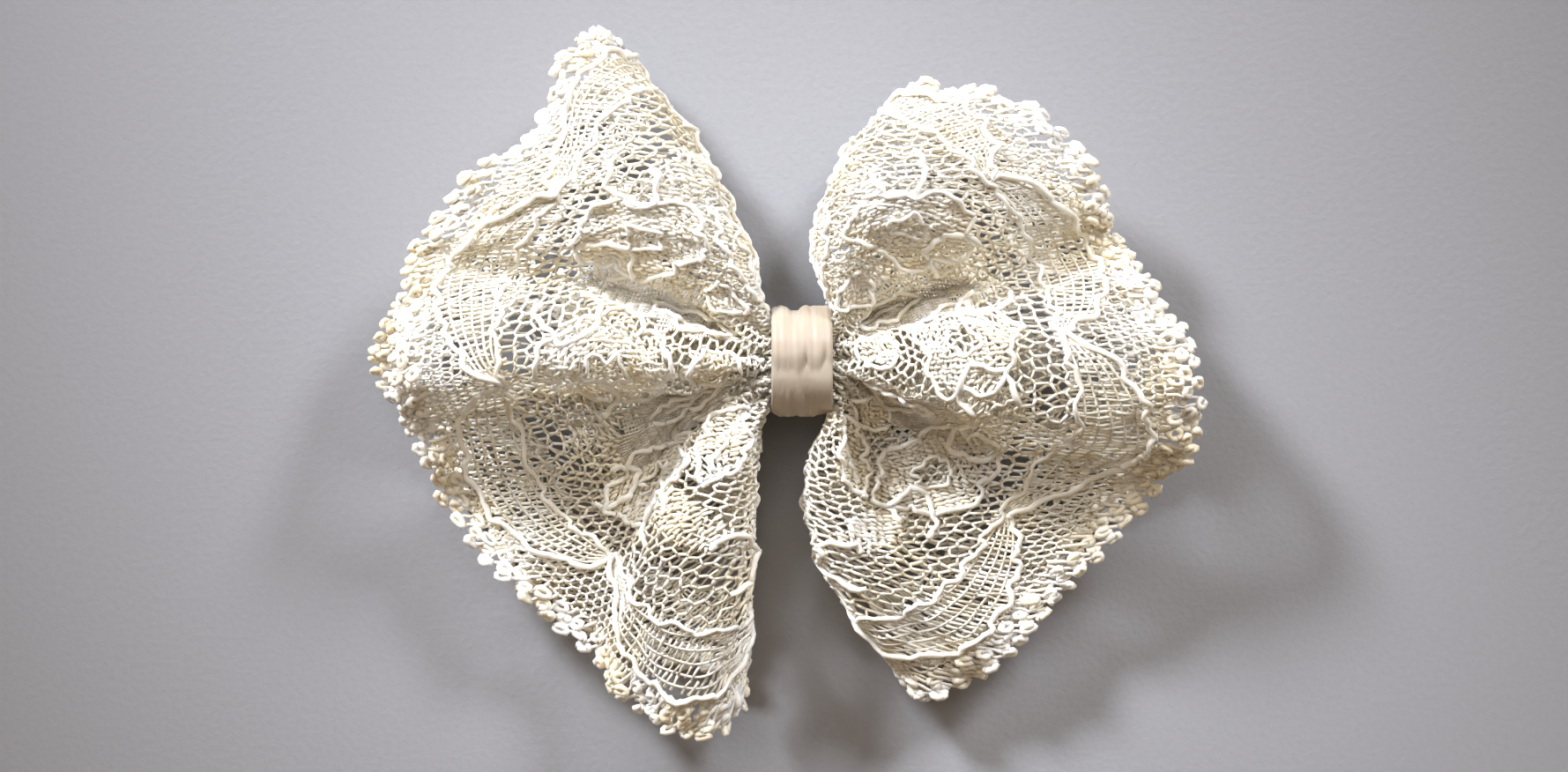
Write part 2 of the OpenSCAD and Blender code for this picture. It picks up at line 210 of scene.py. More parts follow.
def sweep(centre, normal, radius, sides, lobes=0, twist=0.0, flat=1.0):
    """Closed tubes along centre lines of shape (tubes, rings, 3). lobes and twist make it a plied yarn."""
    along = unit(np.gradient(centre, axis=1))
    across = unit(np.cross(along, normal))
    up = np.cross(across, along)
    angle = TURN * (np.arange(sides) + 0.5) / sides
    radius = np.broadcast_to(np.asarray(radius, float), centre.shape[:2])[..., None]
    if lobes:
        step = np.linalg.norm(np.diff(centre, axis=1), axis=-1)
        run = np.concatenate([np.zeros((len(centre), 1)), np.cumsum(step, axis=1)], axis=1)[..., None]
        radius = radius * (1 + 0.16 * np.cos(lobes * (angle - TURN * run / twist)))
    ring = (centre[:, :, None] + (radius * np.cos(angle))[..., None] * across[:, :, None]
            + flat * (radius * np.sin(angle))[..., None] * up[:, :, None])
    tubes, rings = centre.shape[:2]
    ring[..., 2] = np.maximum(ring[..., 2], PAPER_GAP)
    return ring.reshape(-1, 3), tube_quads(tubes, rings, sides)


class Yarn:
    """Collects closed tubes for one piece."""

    def __init__(self):
        self.points, self.quads, self.count = [], [], 0

    def add(self, points, quads):
        self.points.append(points)
        self.quads.append(quads + self.count)
        self.count += len(points)

    def piece(self, name, material):
        return new_piece(name, np.concatenate(self.points), np.concatenate(self.quads), material)


# ---------------------------------------------------------------- lace surface

# The ribs of part.scad: three points on the left wing from the picot edge to the waist, then three on the right
# wing from the waist to the picot edge, and the rows run from the top edge to the bottom edge.
FRONT_RIBS = [
    [[-16.2, 28, 5.5], [-9.8, 19.9, 5.5], [-4.7, 10.4, 6.5], [1, 10.5, 6.5], [4.5, 18.4, 5.5], [8.8, 22.6, 5]],
    [[-17.8, 27.4, 8.5], [-11, 19, 12], [-5.2, 9.9, 12], [1.3, 10.2, 11.5], [5, 18, 12.5], [10.6, 23.2, 8]],
    [[-20.6, 24.2, 9.5], [-14, 16.8, 14.5], [-6.6, 8.8, 13.5], [2.6, 9.6, 14], [7.4, 16.6, 16], [13.6, 23.2, 9]],
    [[-22.8, 19.3, 9.5], [-16, 14.4, 14.5], [-7.6, 7.9, 13.5], [4, 8.8, 14.5], [10, 14.9, 17], [18.4, 21.4, 9.5]],
    [[-28.6, 14.6, 10], [-17.8, 11.6, 13], [-8.3, 6.6, 12.5], [5.2, 7.8, 13.5], [12.4, 13, 16], [23, 18.4, 9.5]],
    [[-31.6, 10.6, 10.5], [-18.8, 9.4, 11], [-8.8, 5.4, 11], [6.4, 6.3, 11.5], [14.4, 10.2, 13], [25.2, 14.2, 8.5]],
    [[-33, 7.4, 10], [-19.6, 7.2, 7.4], [-9.4, 3.8, 7.8], [7.4, 4.2, 7.6], [15.6, 7.2, 6.4], [26.6, 10.2, 7.2]],
    [[-33.6, 4, 11.5], [-20.2, 5, 13], [-10, 2.4, 11.5], [8.2, 2.6, 10.8], [16.4, 4.6, 12], [29.6, 6, 10]],
    [[-33.8, 0.5, 12.5], [-21, 1.8, 16.5], [-10.4, 0.8, 14], [8.8, 1, 14], [17.2, 2, 16], [32, 2, 12]],
    [[-33.4, -3.4, 12], [-21, -1.2, 16], [-10.3, -1.2, 13.6], [9, -0.8, 14.2], [17.6, -1, 17], [33, -2, 12.5]],
    [[-32.6, -6.2, 10], [-20.4, -2.6, 6.4], [-10.2, -2.4, 8.2], [8.8, -3, 12.6], [17.2, -5, 15.5], [32.8, -6.6, 11.5]],
    [[-30.4, -11, 8], [-18.6, -8, 4.7], [-9.9, -3.4, 7.2], [8.2, -4.1, 7.2], [16.2, -6.4, 6.4], [30.6, -9.8, 8]],
    [[-27.4, -16, 7], [-17.2, -10.8, 4], [-9.7, -4.4, 6.4], [7.4, -5.8, 6.6], [14.6, -10.6, 5], [26.6, -14.6, 7.5]],
    [[-22.8, -20.6, 6.5], [-15.6, -12.8, 4], [-9.4, -5.2, 6], [6.2, -7.2, 6.6], [12.4, -13.2, 5.2], [23, -18.6, 6.6]],
    [[-17.8, -25, 6], [-14, -14.2, 5], [-9, -5.8, 7], [4.8, -8.5, 7.8], [9.8, -15.6, 7], [19.6, -22.4, 5.8]],
    [[-13.8, -29.6, 8], [-12.2, -16, 12], [-8.4, -6.6, 11.4], [3.4, -9.4, 9.6], [7.2, -17, 9.2], [16.8, -25.6, 5.2]],
    [[-9.4, -31.6, 8.5], [-8.6, -17.4, 14], [-6.2, -8.3, 13], [2, -9.9, 11], [4.8, -18, 10.4], [13.8, -27.8, 4.8]],
    [[-5.8, -30.2, 6.5], [-4.7, -18, 12], [-4.3, -9.2, 11.4], [0.7, -10.1, 10.6], [2.6, -18.2, 9.8], [10.8, -28.6, 4.5]],
    [[-4.8, -28.6, 4], [-4.2, -17.8, 5.5], [-3.9, -9.1, 6.6], [0.3, -10, 6.2], [1.9, -17.8, 4.8], [9.7, -27.9, 3.6]]]

BACK_RIBS = [
    [[-15.4, 26.4, 3.2], [-9.3, 18.8, 3.6], [-4.4, 9.4, 5], [0.9, 9.4, 5], [4.2, 17.2, 3.6], [8.6, 21.2, 3]],
    [[-20.4, 22.2, 0.9], [-13.6, 15.8, 2], [-6.4, 8.2, 4.4], [3.4, 8.4, 4.4], [9, 14.6, 2.2], [16.6, 20.2, 0.9]],
    [[-27.4, 13.4, 0.4], [-17.4, 10.8, 2], [-8.2, 6, 4.6], [6, 6.6, 4.6], [13.6, 10.4, 2.2], [23.4, 14.4, 0.4]],
    [[-31.8, 8, 1.6], [-19.6, 6.4, 3], [-9.4, 4, 5.3], [7.8, 4, 5.5], [16.4, 6.2, 4.6], [28.2, 8, 2.4]],
    [[-35.6, 2.8, 5], [-21.2, 2.8, 5.3], [-10.2, 1.6, 6], [8.8, 1.6, 6.2], [17.6, 2.2, 6.4], [31, 2.2, 6.4]],
    [[-36.4, -1.2, 5], [-21.2, -1.6, 5.3], [-10.3, -1, 6], [9, -1, 6.2], [17.8, -2.2, 6.4], [31.6, -3, 6.2]],
    [[-31.6, -6.6, 2.4], [-20.2, -4.8, 3.2], [-10, -3.3, 5.3], [8.4, -3.8, 5.6], [16.8, -6, 4.2], [29.8, -8.8, 2.4]],
    [[-28.4, -13, 0.4], [-17.4, -9.6, 1.8], [-9.2, -5.4, 4.2], [7, -6.2, 4.6], [14.2, -10.6, 2.2], [25.8, -14.6, 0.4]],
    [[-23.4, -19, 0.4], [-14.2, -13.6, 1.6], [-7.6, -7, 3.8], [5.4, -7.8, 4.4], [11, -14, 2.4], [20.8, -20, 0.4]],
    [[-16.8, -24.2, 0.4], [-10.6, -15.8, 2.2], [-6, -8, 4.6], [3.4, -8.8, 4.6], [7.4, -16.2, 2.6], [15.8, -24.4, 0.4]],
    [[-6, -27, 2.2], [-5, -16.8, 3.8], [-4.2, -8.8, 4.9], [0.9, -9.4, 4.6], [2.7, -16.4, 3], [10.4, -26.2, 1.9]]]

wrap_low, wrap_high = (np.array(c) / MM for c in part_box("centre_wrap"))
WAIST_Z = (wrap_low[2] + wrap_high[2]) / 2
WAIST_X = wrap_high[0] + 0.15
WRAP_R = (wrap_high[2] - wrap_low[2]) / 2
WRAP_SIDE = wrap_high[1] - WRAP_R
THREAD_R = WRAP_R - 0.4
GATHER_R = WRAP_R - 0.8
GATHER_Y = 3.4
LAYER_GAP = 0.3

LENGTH = 32.0          # lace from the waist to the tips of the picots
EDGE_WIDTH = 88.0      # lace along the picot edge, across all the folds
WAIST_SHARE = 0.35     # share of that width that shows at the waist, where the rest lies in the pleats
FLOOR_CLEARANCE = 0.35


def curve_through(points, place, axis):
    """Catmull-Rom curve through points along an axis, at places counted in points."""
    points = np.moveaxis(points, axis, 0)
    last = len(points) - 1
    i = np.clip(np.floor(place).astype(int), 0, last - 1)
    t = (place - i).reshape((-1,) + (1,) * (points.ndim - 1))
    a, b, c, d = (points[np.clip(i + k, 0, last)] for k in (-1, 0, 1, 2))
    out = 0.5 * (2 * b + (c - a) * t + (2 * a - 5 * b + 4 * c - d) * t ** 2 + (3 * b - a - 3 * c + d) * t ** 3)
    return np.moveaxis(out, 0, axis)


def width_at(x):
    """Flat width of the lace at a distance x from the waist."""
    return EDGE_WIDTH * (WAIST_SHARE + (1 - WAIST_SHARE) * np.clip(x, -2, None) / LENGTH)


def slope_normals(grid):
    return unit(np.cross(np.gradient(grid, axis=1), np.gradient(grid, axis=0)))


class Wing:
    """One wing of one layer: a fine grid of places over the flat lace, from the waist to the picot edge."""

    START = -1.8  # the lace starts this far inside the wrap
    ALONG, ACROSS = 120, 420

    def __init__(self, ribs, side, layer, seed):
        self.side, self.layer, self.seed = side, layer, seed
        ribs = np.array(ribs, float)
        rows = len(ribs)
        y = GATHER_Y * (1 - 2 * np.arange(rows) / (rows - 1))
        bundle = np.sqrt(GATHER_R ** 2 - np.maximum(0, abs(y) - WRAP_SIDE) ** 2) - LAYER_GAP / 2
        z = WAIST_Z + layer * (LAYER_GAP + bundle) / 2
        ends = [np.stack([np.full(rows, x), y, z], axis=1) for x in (-WAIST_X, WAIST_X)]
        full = np.concatenate([ribs[:, :3], ends[0][:, None], ends[1][:, None], ribs[:, 3:]], axis=1)
        x = np.linspace(self.START, LENGTH, self.ALONG)
        place = 4 + 3 * x / LENGTH if side > 0 else 3 - 3 * x / LENGTH
        grid = curve_through(full, place, 1)
        fine = curve_through(grid, np.linspace(0, rows - 1, 40 * rows), 0)
        grid = self.even(fine)
        self.x = x
        self.v = np.linspace(0, 1, self.ACROSS)
        self.pleat = np.interp(self.v, np.linspace(0, 1, rows), bundle) / 2
        self.grid = self.fold(grid)
        self.normal = slope_normals(self.grid) * side
        if self.normal[..., 2].mean() < 0:
            self.normal = -self.normal

    def even(self, fine):
        """Spaces the grid's lines evenly, partly by the picot edge and partly by the middle of the wing."""
        share = 0
        for column, weight in ((-1, 0.6), (self.ALONG // 2, 0.4)):
            step = np.linalg.norm(np.diff(fine[:, column], axis=0), axis=1)
            run = np.concatenate([[0], np.cumsum(step)])
            share = share + weight * run / run[-1]
        target = np.linspace(0, 1, self.ACROSS)
        return np.stack([[np.interp(target, share, fine[:, j, k]) for k in range(3)]
                         for j in range(fine.shape[1])], axis=0).transpose(2, 0, 1)

    def fold(self, grid):
        """Adds the pleats at the waist, the ruffle of the picot edge and the lace's small puckers."""
        rng = np.random.default_rng(self.seed)
        normal = slope_normals(grid) * self.side
        if normal[..., 2].mean() < 0:
            normal = -normal
        v, x = self.v[:, None], self.x[None, :]
        near = np.exp(-np.clip(x, 0, None) / 7.0)
        phase = rng.uniform(0, TURN, 6)
        wander = 0.35 * np.sin(TURN * 2 * v + phase[0])
        pleats = self.pleat[:, None] * 0.8 * near * np.sin(TURN * (9 * v + wander) + 0.08 * x)
        edge = np.clip((x - 0.62 * LENGTH) / (0.38 * LENGTH), 0, 1) ** 2
        ruffle = edge * (0.55 * np.sin(TURN * 8.5 * v + phase[1]) + 0.3 * np.sin(TURN * 17 * v + phase[2]))
        out = np.clip(x / 10, 0, 1)
        pucker = out * (0.22 * np.sin(0.95 * x + TURN * 5 * v + phase[3]) * np.sin(TURN * 13 * v + phase[4])
                        + 0.12 * np.sin(1.9 * x - TURN * 21 * v + phase[5]))
        share = 0.45 if self.layer < 0 else 1.0
        grid = grid + ((pleats + share * (ruffle + pucker))[..., None]) * normal
        grid[..., 2] = np.maximum(grid[..., 2], FLOOR_CLEARANCE)
        return grid

    def at(self, xy, lift=0.0):
        """Places and normals of points of the flat lace, raised by lift off its face."""
        xy = np.asarray(xy, float)
        x = xy[..., 0]
        v = np.clip(xy[..., 1] / width_at(x) + 0.5, 0, 1)
        i = np.clip(v * (self.ACROSS - 1), 0, self.ACROSS - 1.001)
        j = np.clip((x - self.START) / (LENGTH - self.START) * (self.ALONG - 1), 0, self.ALONG - 1.001)
        i0, j0 = i.astype(int), j.astype(int)
        a, b = (i - i0)[..., None], (j - j0)[..., None]
        past = np.clip(x - LENGTH, 0, None)[..., None]

        def blend(g):
            return ((1 - a) * ((1 - b) * g[i0, j0] + b * g[i0, j0 + 1])
                    + a * ((1 - b) * g[i0 + 1, j0] + b * g[i0 + 1, j0 + 1]))

        normal = unit(blend(self.normal))
        outward = unit(self.grid[i0, -1] - self.grid[i0, -6])
        face = normal * self.layer
        return blend(self.grid) + past * outward + np.asarray(lift, float)[..., None] * face, face


# ---------------------------------------------------------------- the lace's pattern, in millimetres of flat lace

REPEATS = 3.77         # scallops over the width of the lace
ROSE_X, ROSE_R = 17.2, 5.3
LEAF_X0, LEAF_X1, LEAF_HALF = 4.0, 14.4, 1.9
BUD_X, BUD_R = 7.0, 2.2
PATCH_X, PATCH_HALF_X, PATCH_HALF_Y = 17.8, 1.9, 3.4
# Two facing scrolls of cord inside each scallop, each part of an opening spiral
SCROLL_X = 19.0        # distance of the pair from the waist
SCROLL_APART = 3.6     # from the crown's middle to each scroll's centre
SCROLL_STEP = 1.2      # how much farther out the second one sits
SCROLL_R0, SCROLL_R1 = 1.4, 3.0
SCROLL_SWEEP = 0.75    # of a whole turn


def border_x(crown):
    """The cord along the scallops. crown is 0 at their cusps and 1 at their crowns."""
    return 24.2 + 4.7 * crown ** 0.7


def ladder_x(crown):
    return border_x(crown) - 3.9 * crown ** 0.6


def band_x(crown):
    return 29.1 + 0.6 * crown


def rose_radius(angle, tilt):
    """Outline of a five-petalled flower."""
    return ROSE_R * (0.74 + 0.26 * np.abs(np.cos(2.5 * (angle - tilt))) ** 0.6)


def leaf_half(t):
    return LEAF_HALF * np.sin(math.pi * np.clip(t, 0, 1)) ** 0.8


class Pattern:
    """Where each part of the design lies on one wing. phase is the scallop, in repeats, that the top edge cuts."""

    def __init__(self, seed, phase, veils):
        rng = np.random.default_rng(seed)
        self.phase = phase
        count = np.arange(math.ceil(REPEATS) + 1)
        crowns = [v for v in (count + 0.5 - phase) / REPEATS if 0.04 < v < 0.96]
        cusps = [v for v in (count - phase) / REPEATS if 0.04 < v < 0.96]
        self.roses = [(v, ROSE_X + rng.uniform(-0.5, 0.5), rng.uniform(0, TURN), rng.uniform(0.92, 1.05))
                      for v in cusps]
        self.buds = [(v, rng.uniform(-0.4, 0.4)) for v in cusps]
        self.leaves = [(v + rng.uniform(-0.008, 0.008), rng.uniform(-1, 1)) for v in crowns]
        self.crowns = crowns
        self.veils = veils

    def crown(self, v):
        return np.abs(np.sin(math.pi * (REPEATS * v + self.phase)))

    @staticmethod
    def y_of(v, x):
        return (v - 0.5) * width_at(x)

    def rose_part(self, xy):
        """Distance from the nearest flower's middle as a share of its outline there."""
        best = np.full(xy.shape[:-1], 9.0)
        for v, x, tilt, size in self.roses:
            dx, dy = xy[..., 0] - x, xy[..., 1] - self.y_of(v, x)
            share = np.hypot(dx, dy) / (size * rose_radius(np.arctan2(dy, dx), tilt))
            best = np.minimum(best, share)
        return best

    def in_leaf(self, xy):
        inside = np.zeros(xy.shape[:-1], bool)
        for v, bend in self.leaves:
            t = (xy[..., 0] - LEAF_X0) / (LEAF_X1 - LEAF_X0)
            middle = self.y_of(v, xy[..., 0]) + bend * np.sin(math.pi * t)
            inside |= (t > 0) & (t < 1) & (np.abs(xy[..., 1] - middle) < leaf_half(t))
        return inside

    def in_bud(self, xy):
        inside = np.zeros(xy.shape[:-1], bool)
        for v, shift in self.buds:
            dy = xy[..., 1] - self.y_of(v, BUD_X)
            inside |= np.hypot((xy[..., 0] - BUD_X - shift) / 1.25, dy) < BUD_R
        return inside

    def in_patch(self, xy):
        inside = np.zeros(xy.shape[:-1], bool)
        for v in self.crowns:
            dy = (xy[..., 1] - self.y_of(v, xy[..., 0])) / PATCH_HALF_Y
            inside |= np.hypot((xy[..., 0] - PATCH_X) / PATCH_HALF_X, dy) < 1
        return inside

    def veil(self, xy):
        """The sheer, finely woven patches, each an oval round (share of the width, distance) of a size in mm."""
        inside = np.zeros(xy.shape[:-1], bool)
        for v, x, half_y, half_x in self.veils:
            dy = (xy[..., 1] - self.y_of(v, xy[..., 0])) / half_y
            inside |= np.hypot((xy[..., 0] - x) / half_x, dy) < 1
        return inside

    def cloth(self, xy):
        share = self.rose_part(xy)
        return (((share < 1) & (share > 0.34)) | self.in_leaf(xy) | self.in_bud(xy)
                | self.in_patch(xy)) & ~self.veil(xy)

    def net(self, xy):
        v = xy[..., 1] / width_at(xy[..., 0]) + 0.5
        inside = (v > 0.002) & (v < 0.998) & (xy[..., 0] > Wing.START) & (xy[..., 0] < ladder_x(self.crown(v)) + 0.2)
        return inside & ~self.cloth(xy) & ~self.veil(xy)

    def ladder(self, xy):
        v = xy[..., 1] / width_at(xy[..., 0]) + 0.5
        crown = self.crown(v)
        between = (xy[..., 0] > ladder_x(crown)) & (xy[..., 0] < border_x(crown))
        return (v > 0) & (v < 1) & between & ~self.cloth(xy) & ~self.veil(xy)

    def band(self, xy):
        v = xy[..., 1] / width_at(xy[..., 0]) + 0.5
        return (v > 0) & (v < 1) & (xy[..., 0] > border_x(self.crown(v))) & (xy[..., 0] < band_x(self.crown(v)))


def hex_net(side, jitter, rng):
    """Edges of an uneven hexagonal net over the whole wing, as (edges, 2, 2) flat points."""
    along = int((LENGTH - Wing.START) / (1.5 * side)) + 2
    across = int(EDGE_WIDTH / (side * math.sqrt(3) / 2)) + 2
    i, j = np.meshgrid(np.arange(across), np.arange(along), indexing="ij")
    odd = (i + j) % 2
    y = i * side * math.sqrt(3) / 2 - EDGE_WIDTH / 2
    x = Wing.START + j * 1.5 * side + np.where(odd, -0.25, 0.25) * side
    points = np.stack([x, y], axis=-1) + rng.uniform(-jitter, jitter, (across, along, 2)) * side
    level = np.stack([points[:-1], points[1:]], axis=2).reshape(-1, 2, 2)
    upright = np.stack([points[:, :-1], points[:, 1:]], axis=2)[odd[:, :-1] == 0].reshape(-1, 2, 2)
    return np.concatenate([level, upright])


def bars(spacing, piece_length, pieces_on, rng, along_x=True, rings=3):
    """Short pieces of parallel threads over the wing, as (pieces, rings, 2) flat points."""
    xs = np.arange(Wing.START, LENGTH, piece_length if along_x else spacing)
    ys = np.arange(-EDGE_WIDTH / 2, EDGE_WIDTH / 2, spacing if along_x else piece_length)
    x, y = (a.ravel() for a in np.meshgrid(xs, ys, indexing="ij"))
    line = np.linspace(0, piece_length, rings)
    wave = 0.12 * spacing
    if along_x:
        px = x[:, None] + line
        py = y[:, None] + wave * np.sin(2.1 * px + 3 * y[:, None])
    else:
        py = y[:, None] + line
        px = x[:, None] + wave * np.sin(2.1 * py + 3 * x[:, None])
    threads = np.stack([px, py], axis=-1)
    return threads[pieces_on(threads[:, rings // 2])]


def lay(yarn, wing, flat_lines, radius, sides=4, lift=0.0, rng=None, rough=0.0, **ply):
    """Lays lines of the flat lace on the wing as tubes."""
    lines = np.asarray(flat_lines, float)
    if not len(lines):
        return
    lift = np.broadcast_to(lift, lines.shape[:2]).copy()
    if rng is not None and rough:
        lift += rng.uniform(-rough, rough, lines.shape[:2])
        knot = 1 + 0.3 * np.abs(np.linspace(-1, 1, lines.shape[1])) ** 2
        radius = radius * knot * rng.uniform(0.78, 1.12, (len(lines), 1)) * rng.uniform(0.9, 1.1, lines.shape[:2])
    centre, normal = wing.at(lines, lift)
    yarn.add(*sweep(centre, normal, radius, sides, **ply))


def ground(yarn, wing, pattern, rng):
    """The net ground, the ladder work inside the scallops and the fine band outside them."""
    edges = hex_net(0.62, 0.26, rng)
    edges = edges[pattern.net(edges.mean(axis=1))]
    lay(yarn, wing, edges, 0.115, lift=0.0, rng=rng, rough=0.12)
    threads = bars(0.55, 0.9, pattern.cloth, rng, along_x=False, rings=2)
    lay(yarn, wing, threads, 0.1, lift=-0.06, rng=rng, rough=0.08)

    threads = bars(0.5, 0.95, pattern.ladder, rng)
    threads = threads[rng.uniform(size=len(threads)) < 0.93] + rng.uniform(-0.09, 0.09, 2)
    threads[:, 1] += rng.uniform(-0.12, 0.12, (len(threads), 2))
    lay(yarn, wing, threads, 0.12, lift=0.02, rng=rng, rough=0.08)
    v = np.linspace(0, 1, 400)
    crown = pattern.crown(v)
    for k in range(1, 6):
        x = border_x(crown) - (border_x(crown) - ladder_x(crown)) * k / 5.5
        line = np.stack([x, (v - 0.5) * width_at(x)], axis=-1)
        lay(yarn, wing, line[None], 0.12, lift=0.06)

    edges = hex_net(0.42, 0.15, rng)
    edges = edges[pattern.band(edges.mean(axis=1))]
    lay(yarn, wing, edges, 0.105, lift=0.0, rng=rng, rough=0.08)


def grains(pitch, length, on, rng):
    """Short fat floats of thread in staggered rows, as (floats, rings, 2) flat points."""
    xs = np.arange(Wing.START, LENGTH, length)
    ys = np.arange(-EDGE_WIDTH / 2, EDGE_WIDTH / 2, pitch)
    x, y = np.meshgrid(xs, ys, indexing="ij")
    x = (x + 0.5 * length * (np.arange(len(ys)) % 2)[None]).ravel() + rng.uniform(-0.12, 0.12, x.size)
    y = y.ravel() + rng.uniform(-0.08, 0.08, x.size)
    swing = rng.uniform(-0.55, 0.55, x.size) + 0.5 * np.sin(0.4 * y) * np.cos(0.5 * x)
    t = (np.linspace(-0.62, 0.62, 4) * length)[None, :]
    floats = np.stack([x[:, None] + t * np.cos(swing)[:, None], y[:, None] + t * np.sin(swing)[:, None]], axis=-1)
    return floats[on(floats.mean(axis=1))]


def weave(yarn, wing, pattern, rng):
    """The woven parts of the design: floats of thick thread over a fine weft."""
    floats = grains(0.43, 0.78, pattern.cloth, rng)
    size = np.array([0.06, 0.17, 0.17, 0.06]) * rng.uniform(0.8, 1.2, (len(floats), 1))
    lay(yarn, wing, floats, size, lift=np.array([-0.08, 0.1, 0.1, -0.08]) + rng.uniform(-0.06, 0.06, (len(floats), 1)))


def veil(yarn, wing, pattern, rng):
    """Sheer patches, woven finely both ways."""
    for along_x in (True, False):
        threads = bars(0.3, 1.0, pattern.veil, rng, along_x=along_x)
        lay(yarn, wing, threads, 0.085, lift=0.03 if along_x else -0.03, rng=rng, rough=0.04)


def loop_of(x, y, steps, close=True):
    line = np.stack([x, y], axis=-1)
    return np.concatenate([line, line[:2]]) if close else line


def cords(yarn, wing, pattern, rng):
    """The plied cord that outlines the scallops, flowers, leaves and buds."""
    ply = dict(sides=8, lobes=3, twist=2.6)

    def cord(line, radius, lift=0.3):
        step = np.linalg.norm(np.diff(line, axis=0), axis=1)
        run = np.concatenate([[0], np.cumsum(step)])
        even = np.arange(0, run[-1], 0.36)
        line = np.stack([np.interp(even, run, line[:, k]) for k in range(2)], axis=-1)
        phase = rng.uniform(0, TURN, 5)
        side = 0.2 * np.sin(even * 1.9 + phase[0]) + 0.1 * np.sin(even * 4.3 + phase[1])
        back = 0.2 * np.sin(even * 1.5 + phase[2]) + 0.1 * np.sin(even * 3.7 + phase[3])
        lump = radius * (1 + 0.14 * np.sin(even * 2.9 + phase[4]))
        lay(yarn, wing, (line + np.stack([side, back], axis=-1))[None], lump[None],
            lift=(lift + 0.08 * np.sin(even * 2.3 + phase[0]))[None], **ply)

    v = np.linspace(0.003, 0.997, 700)
    x = border_x(pattern.crown(v))
    cord(np.stack([x, (v - 0.5) * width_at(x)], axis=-1), 0.25)
    x = ladder_x(pattern.crown(v))
    cord(np.stack([x, (v - 0.5) * width_at(x)], axis=-1), 0.2, lift=0.2)

    turn = np.linspace(0, TURN, 160)
    for v, x, tilt, size in pattern.roses:
        y = pattern.y_of(v, x)
        r = size * rose_radius(turn, tilt)
        cord(loop_of(x + r * np.cos(turn), y + r * np.sin(turn), 160), 0.21)
        r = size * (0.3 + 0.05 * np.sin(5 * turn)) * ROSE_R
        cord(loop_of(x + r * np.cos(turn), y + r * np.sin(turn), 160), 0.16)
    t = np.linspace(0, 1, 90)
    for v, bend in pattern.leaves:
        x = LEAF_X0 + (LEAF_X1 - LEAF_X0) * t
        middle = pattern.y_of(v, x) + bend * np.sin(math.pi * t)
        for s in (-1, 1):
            cord(loop_of(x, middle + s * leaf_half(t), 90, close=False), 0.19)
        cord(loop_of(x[8:-14], middle[8:-14], 60, close=False), 0.18, lift=0.22)
    for v, shift in pattern.buds:
        y = pattern.y_of(v, BUD_X)
        cord(loop_of(BUD_X + shift + 1.25 * BUD_R * np.cos(turn), y + BUD_R * np.sin(turn), 160), 0.18)
    for crown in pattern.crowns:
        for side in (-1, 1):
            grown = np.linspace(0, 1, 80)
            r = SCROLL_R0 + (SCROLL_R1 - SCROLL_R0) * grown
            angle = TURN * (0.25 + SCROLL_SWEEP * grown)
            x = SCROLL_X + side * SCROLL_STEP / 2 + r * np.cos(angle)
            y = pattern.y_of(crown, x) + side * (SCROLL_APART - r * np.sin(angle))
            half = 0.496 * width_at(x)
            cord(np.stack([x, np.clip(y, -half, half)], axis=-1), 0.25)
    for v in (0.0015, 0.9985):
        x = np.linspace(Wing.START, 29.5, 120)
        cord(np.stack([x, (v - 0.5) * width_at(x)], axis=-1), 0.2, lift=0.0)


def picots(yarn, wing, pattern, rng):
    """Rows of small thick loops along the edge, packed like beads, two or three deep."""
    pitch = 1.52
    count = int(EDGE_WIDTH / pitch)
    turn = np.linspace(0, TURN, 10)
    middle = ((np.arange(count) + 0.5) / count - 0.5) * EDGE_WIDTH + rng.uniform(-0.15, 0.15, count)
    tip = LENGTH + 0.35 + rng.uniform(-0.35, 0.25, count)
    half_pitch = EDGE_WIDTH / count / 2
    for depth, half, long, radius, stagger in ((0.0, 0.36, 0.4, 0.3, 0), (0.95, 0.34, 0.36, 0.3, half_pitch),
                                               (1.75, 0.4, 0.36, 0.26, 0)):
        start = rng.uniform(0, TURN, (count, 1))
        squash = rng.uniform(0.8, 1.2, (count, 1))
        y = middle[:, None] + stagger + rng.uniform(-0.16, 0.16, (count, 1)) + half * squash * np.sin(turn + start)
        x = (tip - 0.6 - depth)[:, None] + long / squash * np.cos(turn + start)
        lump = radius * (1 + 0.25 * np.sin(3 * turn + start)) * rng.uniform(0.8, 1.15, (count, 1))
        lift = 0.2 * np.sin(turn + 2 * start) + rng.uniform(-0.2, 0.25, (count, 1))
        lay(yarn, wing, np.stack([x, y], axis=-1), lump, sides=6, lift=lift)
    foot = band_x(pattern.crown((np.arange(count) + 0.5) / count)) - 0.4
    t = np.linspace(0, 1, 5)
    for s in (-1, 1):
        x = foot[:, None] + (tip - foot - 0.9)[:, None] * t
        y = middle[:, None] + s * (0.5 - 0.25 * t) + 0.1 * np.sin(9 * t + middle[:, None])
        lay(yarn, wing, np.stack([x, y], axis=-1), np.full(x.shape, 0.17), lift=0.05)


def lace_layer(name, ribs, layer, seed, phases, veils):
    """One layer of lace: its threads, its cord and its picots, over both wings."""
    net, cloth, cord, picot = Yarn(), Yarn(), Yarn(), Yarn()
    for side in (-1, 1):
        own = seed + (side > 0)
        rng = np.random.default_rng(own)
        wing = Wing(ribs, side, layer, own)
        pattern = Pattern(own, phases[side > 0], veils[side > 0])
        ground(net, wing, pattern, rng)
        weave(cloth, wing, pattern, rng)
        veil(cloth, wing, pattern, rng)
        cords(cord, wing, pattern, rng)
        picots(picot, wing, pattern, rng)
    sheet = net.piece(name + "_net", net_yarn)
    woven = cloth.piece(name + "_weave", cloth_yarn)
    outline = cord.piece(name + "_cord", cord_yarn)
    edging = picot.piece(name + "_picots", picot_yarn)
    for piece in (sheet, woven, outline, edging):
        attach(piece, "bow")
        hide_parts(name + "_lace")


